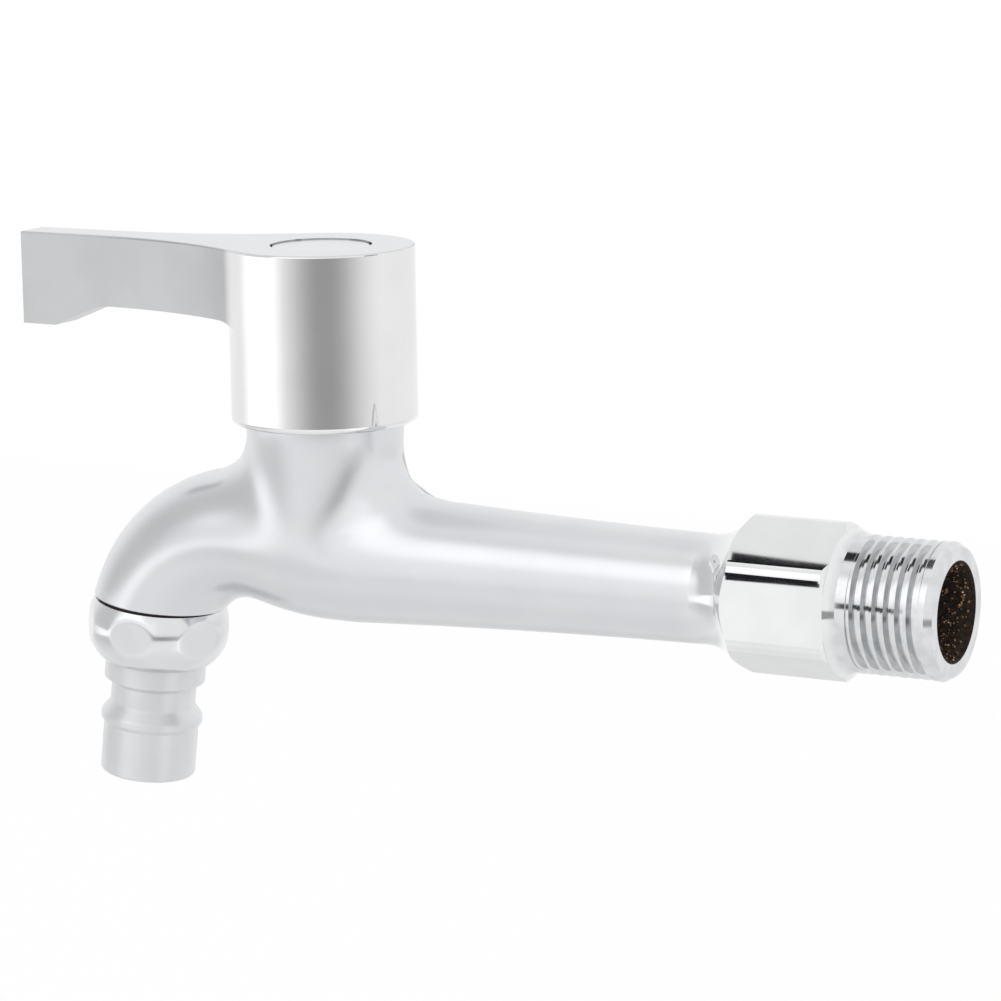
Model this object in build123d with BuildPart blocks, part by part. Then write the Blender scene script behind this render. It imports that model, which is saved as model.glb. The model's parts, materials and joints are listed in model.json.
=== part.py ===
from build123d import *
import os
from math import cos, radians, sin, sqrt

# Wall tap for a washing machine hose, in millimetres. The inlet pipe lies along X with its thread
# towards +X, the spout hangs down at -X, and the handle turns on an upright axis above the body.
# The origin is on the pipe axis, at the root of the shoulder where the inlet thread begins.

os.makedirs("parts", exist_ok=True)

# Inlet: a G1/2 male thread, with a plain land at the shoulder and a plain ring at the end
inlet_thread_d = 20.955
inlet_thread_pitch = 1.814
inlet_thread_depth = 1.16
inlet_length = 15.2
inlet_land_length = 1.6
inlet_ring_length = 1.0
inlet_chamfer_length = 1.1
inlet_chamfer_depth = 0.7
ridge_base_width = 1.5
ridge_crest_width = 0.45
ridge_crest_gap = 0.04
ridge_root_sink = 0.3
inlet_bore_r = 7.6
inlet_bore_depth = 32.0
inlet_bore_cone = 3.0

# Hexagon for the spanner, with a cone towards the thread and a turned flank towards the barrel
shoulder_length = 1.6
shoulder_r = 11.4
hex_across_flats = 22.0
hex_edge_round = 2.5
hex_turned_r = 12.45
hex_turned_small_r = 11.7
hex_turned_chamfer = 0.7
hex_length = 15.7
flank_length = 7.5

# Barrel: a cast tube that swells gently from the hexagon to the valve chamber
barrel_neck_r = 8.5
barrel_middle_r = 9.35
barrel_middle_x = -58.0
barrel_straight = 4.0
tube_r = 10.65
water_bore_r = 5.5
water_bore_drop = 1.5
water_bore_overrun = 0.6

# Valve tower, which stands on the tube and carries the cartridge
tower_x = -92.75
tower_r = 12.65
tower_foot_r = 10.3
tower_straight = 6.0
tower_top_z = 27.0
tower_blend_r = 9.0
tower_mouth_chamfer = 0.5

# Spout: the tube rises a little, then bends down to an outlet that leans forward
arm_start_offset = 2.75
arm_swing_r = 40.0
arm_rise_deg = 13.5
arm_straight = 2.6
bend_r = 20.0
bend_end_deg = 68.0
bend_trim_length = 4.0
outlet_lean_deg = 7.0
spout_bore_r = 6.5
duct_r = 4.0
duct_mouth_z = 11.5
duct_overlap = 2.5
duct_meets_bend = 0.3
spout_end_round = 0.25

# Outlet spigot under the spout, and the ball nut screwed to it
spigot_r = 10.0
spigot_length = 4.5
spigot_bore_r = 7.0
spigot_bore_overlap = 2.0
outlet_thread_clearance = 0.05
nut_seam = 0.4
nut_length = 9.8
nut_ball_arc_r = 7.6
nut_ball_arc_offset = 4.25
nut_ball_waist = 4.4
nut_across_flats = 22.4
nut_flat_round = 2.5
nut_flat_phase_deg = -21.0
nut_hole_clearance = 0.05

# Outlet sealing washer and gauze, held between the spigot and the flange of the nozzle
nozzle_washer_length = 1.8
radial_slack = 0.3
gauze_thickness = 0.4
gauze_hole = 0.9
gauze_pitch = 1.4
gauze_rows = 8
gauze_open_r = 5.4

# Hose nozzle: flange, collar, groove, snap bead and hose end, measured down from the spout's end
nozzle_flange_length = 1.3
nozzle_collar_r = 8.3
nozzle_collar_end = 13.6
nozzle_neck_r = 7.0
nozzle_neck_start = 14.5
nozzle_neck_end = 17.8
nozzle_bead_r = 8.35
nozzle_bead_start = 19.7
nozzle_bead_end = 20.7
nozzle_bead_foot = 21.4
nozzle_bead_round = 1.0
nozzle_tube_r = 7.82
nozzle_length = 29.7
nozzle_bore_r = 6.0
nozzle_rim_round = 0.5

# Seat and ceramic disc set, stacked upwards from the floor of the valve chamber
seat_z = 6.0
seat_port_r = 4.9
chamber_r = 8.7
chamber_step_z = 18.0
cartridge_thread_r = 10.4
cartridge_thread_clearance = 0.05
cartridge_thread_relief = 0.6
sleeve_r = 8.4
sleeve_bore_r = 7.7
sleeve_gap_above_seat = 0.9
disc_r = 7.5
disc_thickness = 2.8
disc_film = 0.02
disc_port_centre_r = 3.7
disc_port_width = 3.2
disc_port_arc_deg = 30.0
disc_lug_width = 3.0
disc_lug_r = 8.2
disc_lug_clearance = 0.1
seal_height = 2.2
seal_hole_r = 5.9
support_ring_wall = 0.6
support_ring_height = 1.6

# Spindle with its driving bar, stop lug, seal grooves and splined head
driver_length = 12.6
driver_width = 3.6
driver_height = 3.2
driver_tang_width = 2.4
driver_tang_depth = 1.2
driver_slot_clearance = 0.1
spindle_collar_r = 6.4
spindle_collar_height = 2.0
spindle_collar_clearance = 0.1
stop_lug_r = 7.5
stop_lug_deg = 60.0
stop_lug_middle_deg = 45.0
stop_play_deg = 1.0
quarter_turn_deg = 90.0
spindle_r = 4.9
spindle_clearance = 0.05
thrust_washer_thickness = 0.7
seal_groove_root_r = 3.6
seal_groove_width = 1.7
lower_seal_z = 22.7
upper_seal_z = 29.0
seal_running_gap = 0.02
clip_groove_root_r = 4.0
clip_groove_width = 0.9
clip_thickness = 0.7
clip_r = 6.2
clip_mouth = 6.4
clip_running_gap = 0.1
spline_teeth = 20
spline_root_r = 3.65
spline_tip_r = 4.0
spline_tooth_width = 0.6
spline_length = 5.6
spline_clearance = 0.1
screw_hole_depth = 9.0

# Cartridge housing that closes the tower
housing_washer_thickness = 1.0
housing_washer_hole_r = 10.6
housing_washer_r = 12.3
housing_hex_across_flats = 22.0
housing_hex_height = 6.0
housing_hex_turned_r = 12.3
housing_neck_r = 6.8
housing_neck_height = 2.2
window_width = 9.0
window_height = 4.0
window_lid = 0.4

# Handle: a skirt over the tower with a teardrop lever, flush on top with the index cap
handle_top_z = 49.8
skirt_r = 14.9
skirt_bore_r = 13.4
skirt_bottom_z = 21.6
skirt_rim_round = 1.0
handle_edge_round = 0.35
roof_thickness = 3.8
hub_r = 7.2
hub_gap_over_clip = 0.5
lever_reach = 55.4
lever_tip_half_width = 3.05
lever_waist_half_width = 3.3
lever_flare_r = 60.0
lever_depth = 11.6
lever_tip_depth = 15.2
lever_tip_length = 6.3
lever_step_run = 8.8
lever_step_round = 8.0
lever_root_round = 1.6
lever_root_sink = 0.5
web_thickness = 1.6

# Handle screw, its washer and the index cap over it
screw_r = 1.95
screw_thread_clearance = 0.05
screw_hole_clearance = 0.25
screw_length = 11.0
screw_head_r = 3.8
screw_head_height = 2.2
screw_head_round = 0.6
screw_recess_width = 0.9
screw_recess_length = 4.2
screw_recess_depth = 1.2
screw_washer_r = 4.4
screw_washer_thickness = 0.6
cap_r = 7.9
cap_gap = 0.2
cap_recess_depth = 1.8
cap_thickness = 1.6
cap_edge_round = 0.3
cap_pocket_r = 5.75
cap_spigot_r = 5.55
cap_spigot_wall = 0.95
cap_spigot_depth = 2.4
cap_pocket_depth = 3.0
cap_groove_depth = 0.5
cap_groove_width = 0.8
cap_groove_drop = 0.7

# Places along the inlet and the barrel, worked out from the sizes above
inlet_thread_r = inlet_thread_d / 2
inlet_root_r = inlet_thread_r - inlet_thread_depth
inlet_ring_end_x = inlet_length - inlet_chamfer_length
inlet_ring_x = inlet_ring_end_x - inlet_ring_length
inlet_bore_end_x = inlet_length - inlet_bore_depth
hex_near_x = -shoulder_length
hex_far_x = hex_near_x - hex_length
barrel_neck_x = hex_far_x - flank_length
arm_start_x = tower_x + arm_start_offset
barrel_full_x = arm_start_x + barrel_straight
tower_axis = Axis((tower_x, 0, 0), (0, 0, 1))
tower_section = Plane(origin=(tower_x, 0, 0), x_dir=(1, 0, 0), z_dir=(0, -1, 0))

# Heights in the valve
disc_bottom_z = seat_z + seal_height
moving_disc_z = disc_bottom_z + disc_thickness + disc_film
driver_z = moving_disc_z + disc_thickness + disc_film
spindle_collar_z = driver_z + driver_height
thrust_washer_z = spindle_collar_z + spindle_collar_height + disc_film
housing_step_z = thrust_washer_z + thrust_washer_thickness + disc_film
housing_flange_z = tower_top_z + housing_washer_thickness
housing_hex_top_z = housing_flange_z + housing_hex_height
housing_top_z = housing_hex_top_z + housing_neck_height
clip_z = housing_top_z + clip_running_gap
hub_bottom_z = clip_z + clip_thickness + hub_gap_over_clip
spindle_top_z = hub_bottom_z + spline_length
housing_bore_r = spindle_r + spindle_clearance
sleeve_bottom_z = seat_z + sleeve_gap_above_seat

# Heights in the handle
cap_recess_z = handle_top_z - cap_recess_depth
cap_pocket_z = cap_recess_z - cap_pocket_depth
socket_top_z = cap_pocket_z - web_thickness
screw_head_z = cap_pocket_z + screw_washer_thickness
handle_roof_z = handle_top_z - roof_thickness

# Depths along the outlet, measured down from the spout's end
nozzle_flange_top = spigot_length + nozzle_washer_length + gauze_thickness
nozzle_flange_end = nozzle_flange_top + nozzle_flange_length
nozzle_flange_r = spigot_r - radial_slack
nut_end = nut_seam + nut_length


def tower_plane(z):
    return Plane(origin=(tower_x, 0, z))


def ring(plane, inner_r, outer_r, height):
    with BuildPart() as washer:
        with BuildSketch(plane):
            Circle(outer_r)
            Circle(inner_r, mode=Mode.SUBTRACT)
        extrude(amount=height)
    return washer


def o_ring(centre_z, inner_r, outer_r):
    section_r = (outer_r - inner_r) / 2
    with BuildPart(tower_plane(centre_z)) as seal:
        Torus(inner_r + section_r, section_r)
    return seal


def finish(piece, name):
    piece.part.label = name
    export_step(piece.part, f"parts/{name}.step")


# Centre line of the spout, from the foot of the tower to the outlet
with BuildLine(Plane.XZ) as spout_path:
    swing = JernArc((arm_start_x, 0), (-1, 0), arm_swing_r, -arm_rise_deg)
    arm = Line(swing @ 1, swing @ 1 + (swing % 1) * arm_straight)
    bend = JernArc(arm @ 1, arm % 1, bend_r, arm_rise_deg + bend_end_deg)
    Line(bend @ 1, bend @ 1 + (bend % 1) * bend_trim_length)
outlet_end = bend @ 1
outlet_up = Vector(sin(radians(outlet_lean_deg)), 0, cos(radians(outlet_lean_deg)))
outlet_across = Vector(outlet_up.Z, 0, -outlet_up.X)
outlet_axis = Axis(outlet_end, outlet_up)
outlet_section = Plane(origin=outlet_end, x_dir=outlet_across, z_dir=(0, -1, 0))


def outlet_plane(depth):
    return Plane(origin=outlet_end - outlet_up * depth, x_dir=outlet_across, z_dir=outlet_up)


# Hexagon for the spanner: a rounded hexagonal bar, turned down at both ends
with BuildPart() as hexagon:
    with BuildSketch(Plane.YZ.offset(barrel_neck_x)) as hexagon_outline:
        RegularPolygon(hex_across_flats / 2, side_count=6, major_radius=False, rotation=30)
        fillet(hexagon_outline.vertices(), hex_edge_round)
    extrude(amount=hex_near_x - barrel_neck_x)
    with BuildSketch(Plane.XZ):
        with BuildLine():
            flank = TangentArc(
                (barrel_neck_x, barrel_neck_r),
                (hex_far_x, hex_turned_r),
                tangent=(1, 0),
            )
            Polyline(
                (hex_far_x, hex_turned_r),
                (hex_near_x - hex_turned_chamfer, hex_turned_r),
                (hex_near_x, hex_turned_small_r),
                (hex_near_x, 0),
                (barrel_neck_x, 0),
                (barrel_neck_x, barrel_neck_r),
            )
        make_face()
    revolve(axis=Axis.X, mode=Mode.INTERSECT)

# Ridge of the inlet thread, wound round its root from the land to the end ring
with BuildPart() as inlet_ridge:
    with BuildLine() as ridge_line:
        Helix(
            inlet_thread_pitch,
            inlet_ring_x - inlet_land_length,
            inlet_root_r,
            center=(inlet_land_length, 0, 0),
            direction=(1, 0, 0),
        )
    ridge_origin = ridge_line.line @ 0
    ridge_outwards = Vector(0, ridge_origin.Y, ridge_origin.Z).normalized()
    ridge_height = inlet_thread_depth - ridge_crest_gap
    with BuildSketch(Plane(origin=ridge_origin, x_dir=ridge_outwards, z_dir=ridge_line.line % 0)):
        Polygon(
            (-ridge_root_sink, -ridge_base_width / 2),
            (ridge_height, -ridge_crest_width / 2),
            (ridge_height, ridge_crest_width / 2),
            (-ridge_root_sink, ridge_base_width / 2),
            align=None,
        )
    sweep(path=ridge_line.line, is_frenet=True)

# Cast body: barrel, spout, tower, hexagon and inlet in one piece, with the waterways cored out
with BuildPart() as tap_body:
    with BuildSketch(Plane.XZ):
        with BuildLine():
            ThreePointArc(
                (barrel_neck_x, barrel_neck_r),
                (barrel_middle_x, barrel_middle_r),
                (barrel_full_x, tube_r),
            )
            Polyline(
                (barrel_full_x, tube_r),
                (arm_start_x, tube_r),
                (arm_start_x, 0),
                (barrel_neck_x, 0),
                (barrel_neck_x, barrel_neck_r),
            )
        make_face()
    revolve(axis=Axis.X)
    with BuildSketch(Plane.YZ.offset(arm_start_x)):
        Circle(tube_r)
    sweep(path=spout_path.wire())
    with BuildSketch(tower_section):
        with BuildLine():
            Polyline(
                (0, 0),
                (0, tower_top_z),
                (tower_r, tower_top_z),
                (tower_r, tower_top_z - tower_straight),
                (tower_foot_r, 0),
                (0, 0),
            )
        make_face()
    revolve(axis=tower_axis)
    fillet(tap_body.edges().filter_by(GeomType.BSPLINE), tower_blend_r)
    split(bisect_by=outlet_plane(0), keep=Keep.TOP)
    fillet(tap_body.faces().sort_by(outlet_axis)[0].edges(), spout_end_round)
    with BuildSketch(outlet_plane(0)):
        Circle(spigot_r)
    extrude(amount=-spigot_length)
    add(hexagon.part)

    # Inlet: shoulder, land, thread root and end ring in one turned profile, then the ridge
    with BuildSketch(Plane.XZ):
        Polygon(
            (hex_near_x, 0),
            (hex_near_x, shoulder_r),
            (0, inlet_thread_r),
            (inlet_land_length, inlet_thread_r),
            (inlet_land_length + inlet_thread_depth / 2, inlet_root_r),
            (inlet_ring_x - inlet_thread_depth / 2, inlet_root_r),
            (inlet_ring_x, inlet_thread_r),
            (inlet_ring_end_x, inlet_thread_r),
            (inlet_length, inlet_thread_r - inlet_chamfer_depth),
            (inlet_length, 0),
            align=None,
        )
    revolve(axis=Axis.X)
    add(inlet_ridge.part)

    # Waterway from the inlet to under the seat
    with BuildSketch(Plane.XZ):
        Polygon(
            (inlet_length, 0),
            (inlet_length, inlet_bore_r),
            (inlet_bore_end_x, inlet_bore_r),
            (inlet_bore_end_x - inlet_bore_cone, water_bore_r - water_bore_drop),
            (inlet_bore_end_x - inlet_bore_cone, 0),
            align=None,
        )
    revolve(axis=Axis.X, mode=Mode.SUBTRACT)
    water_bore_end_x = tower_x - seat_port_r - water_bore_overrun
    with BuildSketch(Plane.YZ.offset(water_bore_end_x)):
        with Locations((0, -water_bore_drop)):
            Circle(water_bore_r)
    extrude(amount=inlet_bore_end_x - water_bore_end_x, mode=Mode.SUBTRACT)

    # Seat port, valve chamber and the bore that the cartridge screws into
    with BuildSketch(tower_section):
        Polygon(
            (0, -water_bore_drop),
            (seat_port_r, -water_bore_drop),
            (seat_port_r, seat_z),
            (chamber_r, seat_z),
            (chamber_r, chamber_step_z),
            (cartridge_thread_r, chamber_step_z),
            (cartridge_thread_r, tower_top_z - tower_mouth_chamfer),
            (cartridge_thread_r + tower_mouth_chamfer, tower_top_z),
            (0, tower_top_z),
            align=None,
        )
    revolve(axis=tower_axis, mode=Mode.SUBTRACT)

    # Duct from the chamber into the spout, then the spout's bore down through the spigot
    duct_mouth = Vector(tower_x - chamber_r, 0, duct_mouth_z)
    duct_end = bend @ duct_meets_bend
    duct_way = (duct_end - duct_mouth).normalized()
    duct_start = duct_mouth - duct_way * duct_overlap
    with BuildSketch(Plane(origin=duct_start, z_dir=duct_way)):
        Circle(duct_r)
    extrude(amount=(duct_end - duct_start).length, mode=Mode.SUBTRACT)
    with BuildSketch(Plane(origin=duct_end, z_dir=bend % duct_meets_bend)):
        Circle(spout_bore_r)
    sweep(path=bend.trim(duct_meets_bend, 1), mode=Mode.SUBTRACT)
    with BuildSketch(outlet_plane(spigot_length)):
        Circle(spigot_bore_r)
    extrude(amount=spigot_length + spigot_bore_overlap, mode=Mode.SUBTRACT)
finish(tap_body, "tap_body")

# Housing of the cartridge: sleeve round the discs, thread, spanner hexagon and neck
with BuildPart() as cartridge_housing:
    cartridge_outer_r = cartridge_thread_r - cartridge_thread_clearance
    with BuildSketch(tower_section):
        Polygon(
            (0, sleeve_bottom_z),
            (sleeve_r, sleeve_bottom_z),
            (sleeve_r, chamber_step_z + cartridge_thread_relief),
            (cartridge_outer_r, chamber_step_z + cartridge_thread_relief),
            (cartridge_outer_r, housing_flange_z),
            (0, housing_flange_z),
            align=None,
        )
    revolve(axis=tower_axis)
    with BuildSketch(tower_plane(housing_flange_z)):
        RegularPolygon(housing_hex_across_flats / 2, side_count=6, major_radius=False)
        Circle(housing_hex_turned_r, mode=Mode.INTERSECT)
    extrude(amount=housing_hex_height)
    with BuildSketch(tower_plane(housing_hex_top_z)):
        Circle(housing_neck_r)
    extrude(amount=housing_neck_height)
    with BuildSketch(tower_plane(sleeve_bottom_z)):
        Circle(housing_bore_r)
    extrude(amount=housing_top_z - sleeve_bottom_z, mode=Mode.SUBTRACT)
    with BuildSketch(tower_plane(sleeve_bottom_z)):
        Circle(sleeve_bore_r)
    extrude(amount=spindle_collar_z - disc_lug_clearance - sleeve_bottom_z, mode=Mode.SUBTRACT)

    # Bore of the spindle's collar, with the pocket that stops its lug at closed and at open
    pocket_deg = stop_lug_deg + quarter_turn_deg + 2 * stop_play_deg
    pocket_start_deg = stop_lug_middle_deg - stop_lug_deg / 2 - stop_play_deg
    with BuildSketch(tower_plane(sleeve_bottom_z)):
        Circle(spindle_collar_r + spindle_collar_clearance)
        with BuildLine():
            pocket = CenterArc((0, 0), sleeve_bore_r, pocket_start_deg, pocket_deg)
            Line(pocket @ 1, (0, 0))
            Line((0, 0), pocket @ 0)
        make_face()
    extrude(amount=housing_step_z - sleeve_bottom_z, mode=Mode.SUBTRACT)

    # Windows that let the water out of the sleeve, and notches for the lugs of the fixed disc
    with BuildSketch(tower_plane(spindle_collar_z - window_lid)):
        Rectangle(4 * sleeve_r, window_width)
        Circle(sleeve_bore_r - disc_lug_clearance, mode=Mode.SUBTRACT)
    extrude(amount=-window_height, mode=Mode.SUBTRACT)
    with BuildSketch(tower_plane(sleeve_bottom_z)):
        Rectangle(disc_lug_width + 2 * disc_lug_clearance, 2 * sleeve_r)
    extrude(
        amount=disc_bottom_z + disc_thickness + disc_lug_clearance - sleeve_bottom_z,
        mode=Mode.SUBTRACT,
    )
finish(cartridge_housing, "cartridge_housing")

# Washer between the tower and the cartridge
housing_washer = ring(
    tower_plane(tower_top_z),
    housing_washer_hole_r,
    housing_washer_r,
    housing_washer_thickness,
)
finish(housing_washer, "housing_washer")

# Rubber seal under the fixed disc, and the plastic ring that keeps its hole open
seat_seal = ring(tower_plane(seat_z), seal_hole_r, disc_r - radial_slack, seal_height)
finish(seat_seal, "seat_seal")
seal_support_ring = ring(
    tower_plane(seat_z),
    seal_hole_r - support_ring_wall,
    seal_hole_r,
    support_ring_height,
)
finish(seal_support_ring, "seal_support_ring")

# Fixed ceramic disc: two ports to left and right, and two lugs that key it to the sleeve
with BuildPart() as fixed_disc:
    with BuildSketch(tower_plane(disc_bottom_z)):
        Rectangle(disc_lug_width, 2 * disc_lug_r)
        Circle(disc_lug_r, mode=Mode.INTERSECT)
        Circle(disc_r)
        for start_deg in (0, 180):
            port_start_deg = start_deg - disc_port_arc_deg / 2
            port = CenterArc(
                (0, 0), disc_port_centre_r, port_start_deg, disc_port_arc_deg, mode=Mode.PRIVATE
            )
            SlotArc(port, disc_port_width, mode=Mode.SUBTRACT)
    extrude(amount=disc_thickness)
finish(fixed_disc, "fixed_disc")

# Moving ceramic disc: its ports stand a quarter turn from the fixed ones when the tap is closed
with BuildPart() as moving_disc:
    with BuildSketch(tower_plane(moving_disc_z)):
        Circle(disc_r)
        for start_deg in (90, 270):
            port_start_deg = start_deg - disc_port_arc_deg / 2
            port = CenterArc(
                (0, 0), disc_port_centre_r, port_start_deg, disc_port_arc_deg, mode=Mode.PRIVATE
            )
            SlotArc(port, disc_port_width, mode=Mode.SUBTRACT)
    extrude(amount=disc_thickness)
    with BuildSketch(tower_plane(moving_disc_z + disc_thickness)):
        Rectangle(
            driver_length + 2 * driver_slot_clearance,
            driver_tang_width + 2 * driver_slot_clearance,
        )
    extrude(amount=-driver_tang_depth - driver_slot_clearance, mode=Mode.SUBTRACT)
finish(moving_disc, "moving_disc")

# Spindle: driving bar and tang below, collar with stop lug, sealed shaft, clip groove, spline
with BuildPart() as spindle:
    with BuildSketch(tower_plane(driver_z)):
        Rectangle(driver_length, driver_width)
    extrude(amount=driver_height)
    with BuildSketch(tower_plane(driver_z)):
        Rectangle(driver_length, driver_tang_width)
    extrude(amount=-driver_tang_depth)
    with BuildSketch(tower_plane(spindle_collar_z)):
        with BuildLine():
            lug_start_deg = stop_lug_middle_deg - stop_lug_deg / 2
            lug = CenterArc((0, 0), stop_lug_r, lug_start_deg, stop_lug_deg)
            Line(lug @ 1, (0, 0))
            Line((0, 0), lug @ 0)
        make_face()
        Circle(spindle_collar_r)
    extrude(amount=spindle_collar_height)
    with BuildSketch(tower_plane(spindle_collar_z)):
        Circle(spindle_r)
    extrude(amount=hub_bottom_z - spindle_collar_z)
    with BuildSketch(tower_plane(hub_bottom_z)):
        Circle(spline_root_r)
        with PolarLocations(spline_root_r, spline_teeth):
            Rectangle(2 * (spline_tip_r - spline_root_r), spline_tooth_width)
    extrude(amount=spline_length)
    for groove_z in (lower_seal_z, upper_seal_z):
        with BuildSketch(tower_plane(groove_z)):
            Circle(spindle_r)
            Circle(seal_groove_root_r, mode=Mode.SUBTRACT)
        extrude(amount=seal_groove_width, mode=Mode.SUBTRACT)
    with BuildSketch(tower_plane(clip_z - (clip_groove_width - clip_thickness) / 2)):
        Circle(spindle_r)
        Circle(clip_groove_root_r, mode=Mode.SUBTRACT)
    extrude(amount=clip_groove_width, mode=Mode.SUBTRACT)
    with BuildSketch(tower_plane(spindle_top_z)):
        Circle(screw_r + screw_thread_clearance)
    extrude(amount=-screw_hole_depth, mode=Mode.SUBTRACT)
finish(spindle, "spindle")

# Two O-rings in the grooves of the spindle
for name, groove_z in (("spindle_o_ring_lower", lower_seal_z), ("spindle_o_ring_upper", upper_seal_z)):
    spindle_seal = o_ring(
        groove_z + seal_groove_width / 2,
        seal_groove_root_r,
        housing_bore_r - seal_running_gap,
    )
    finish(spindle_seal, name)

# Slippery washer between the spindle's collar and the step of the housing
thrust_washer = ring(
    tower_plane(thrust_washer_z),
    spindle_r + spindle_clearance,
    spindle_collar_r,
    thrust_washer_thickness,
)
finish(thrust_washer, "thrust_washer")

# Open spring clip that holds the spindle in the housing
with BuildPart() as spindle_clip:
    with BuildSketch(tower_plane(clip_z)):
        Circle(clip_r)
        Circle(clip_groove_root_r, mode=Mode.SUBTRACT)
        with Locations((clip_r, 0)):
            Rectangle(2 * clip_r, clip_mouth, mode=Mode.SUBTRACT)
    extrude(amount=clip_thickness)
finish(spindle_clip, "spindle_clip")

# Lever of the handle: the side view first, with a deeper tip and a rounded root, then cut to the teardrop plan
flare_centre_y = lever_waist_half_width + lever_flare_r
flare_centre_x = sqrt((skirt_r + lever_flare_r) ** 2 - flare_centre_y**2)
flare_share = skirt_r / (skirt_r + lever_flare_r)
lever_under_z = handle_top_z - lever_depth
with BuildPart() as lever:
    with BuildSketch(tower_section) as lever_side:
        Polygon(
            (0, handle_top_z),
            (-lever_reach, handle_top_z),
            (-lever_reach, handle_top_z - lever_tip_depth),
            (lever_tip_length - lever_reach, handle_top_z - lever_tip_depth),
            (lever_tip_length + lever_step_run - lever_reach, lever_under_z),
            (0, lever_under_z),
            align=None,
        )
        step_corner = Vector(lever_tip_length + lever_step_run - lever_reach, lever_under_z)
        fillet(lever_side.vertices().sort_by_distance(step_corner)[0], lever_step_round)
    extrude(amount=skirt_r, both=True)
    with BuildSketch(tower_section):
        with BuildLine():
            RadiusArc(
                (skirt_r, lever_under_z - lever_root_round),
                (skirt_r + lever_root_round, lever_under_z),
                lever_root_round,
            )
            Polyline(
                (skirt_r + lever_root_round, lever_under_z),
                (skirt_r + lever_root_round, lever_under_z + lever_root_sink),
                (skirt_r - lever_root_sink, lever_under_z + lever_root_sink),
                (skirt_r - lever_root_sink, lever_under_z - lever_root_round),
                (skirt_r, lever_under_z - lever_root_round),
            )
        make_face()
    revolve(axis=tower_axis)
    with BuildSketch(tower_plane(0)):
        with BuildLine():
            tip = Line((-lever_reach, -lever_tip_half_width), (-lever_reach, lever_tip_half_width))
            side = Line(tip @ 1, (-flare_centre_x, lever_waist_half_width))
            flare = TangentArc(
                side @ 1,
                (-flare_centre_x * flare_share, flare_centre_y * flare_share),
                tangent=(1, 0),
            )
            Line(flare @ 1, (0, 0))
            mirror(about=Plane.XZ)
        make_face()
    extrude(amount=handle_top_z, mode=Mode.INTERSECT)

# Handle: lever and skirt in one casting, hollow below, with a splined hub and a pocket on top
with BuildPart() as handle:
    with BuildSketch(tower_plane(skirt_bottom_z)):
        Circle(skirt_r)
    extrude(amount=handle_top_z - skirt_bottom_z)
    add(lever.part)
    fillet(handle.faces().sort_by(Axis.Z)[0].edges(), skirt_rim_round)
    fillet(handle.faces().sort_by(Axis.Z)[-1].edges(), handle_edge_round)
    with BuildSketch(tower_plane(skirt_bottom_z)):
        Circle(skirt_bore_r)
    extrude(amount=handle_roof_z - skirt_bottom_z, mode=Mode.SUBTRACT)
    with BuildSketch(tower_plane(hub_bottom_z)):
        Circle(hub_r)
    extrude(amount=handle_roof_z - hub_bottom_z)
    with BuildSketch(tower_plane(hub_bottom_z)):
        Circle(spline_root_r + spline_clearance)
        with PolarLocations(spline_root_r, spline_teeth):
            Rectangle(
                2 * (spline_tip_r - spline_root_r + spline_clearance),
                spline_tooth_width + 2 * spline_clearance,
            )
    extrude(amount=socket_top_z - hub_bottom_z, mode=Mode.SUBTRACT)
    with BuildSketch(tower_plane(socket_top_z)):
        Circle(screw_r + screw_hole_clearance)
    extrude(amount=web_thickness, mode=Mode.SUBTRACT)
    with BuildSketch(tower_plane(cap_pocket_z)):
        Circle(cap_pocket_r)
    extrude(amount=cap_pocket_depth, mode=Mode.SUBTRACT)
    with BuildSketch(tower_plane(cap_recess_z)):
        Circle(cap_r + cap_gap)
    extrude(amount=cap_recess_depth, mode=Mode.SUBTRACT)
finish(handle, "handle")

# Screw that pulls the handle onto the spindle, and the washer under its head
with BuildPart() as handle_screw:
    with BuildSketch(tower_plane(screw_head_z)):
        Circle(screw_head_r)
    extrude(amount=screw_head_height)
    fillet(handle_screw.faces().sort_by(Axis.Z)[-1].edges(), screw_head_round)
    with BuildSketch(tower_plane(screw_head_z)):
        Circle(screw_r)
    extrude(amount=-screw_length)
    with BuildSketch(tower_plane(screw_head_z + screw_head_height)):
        Rectangle(screw_recess_length, screw_recess_width)
        Rectangle(screw_recess_width, screw_recess_length)
    extrude(amount=-screw_recess_depth, mode=Mode.SUBTRACT)
finish(handle_screw, "handle_screw")
screw_washer = ring(
    tower_plane(cap_pocket_z),
    screw_r + screw_hole_clearance,
    screw_washer_r,
    screw_washer_thickness,
)
finish(screw_washer, "screw_washer")

# Index cap, pressed into the handle over the screw, and the O-ring that grips it
cap_groove_z = cap_recess_z - cap_groove_drop - cap_groove_width
with BuildPart() as index_cap:
    with BuildSketch(tower_plane(cap_recess_z)):
        Circle(cap_r)
    extrude(amount=cap_thickness)
    fillet(index_cap.faces().sort_by(Axis.Z)[-1].edges(), cap_edge_round)
    with BuildSketch(tower_plane(cap_recess_z)):
        Circle(cap_spigot_r)
        Circle(cap_spigot_r - cap_spigot_wall, mode=Mode.SUBTRACT)
    extrude(amount=-cap_spigot_depth)
    with BuildSketch(tower_plane(cap_groove_z)):
        Circle(cap_spigot_r)
        Circle(cap_spigot_r - cap_groove_depth, mode=Mode.SUBTRACT)
    extrude(amount=cap_groove_width, mode=Mode.SUBTRACT)
finish(index_cap, "index_cap")
cap_o_ring = o_ring(
    cap_groove_z + cap_groove_width / 2,
    cap_spigot_r - cap_groove_depth,
    cap_pocket_r - seal_running_gap,
)
finish(cap_o_ring, "cap_o_ring")

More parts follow.
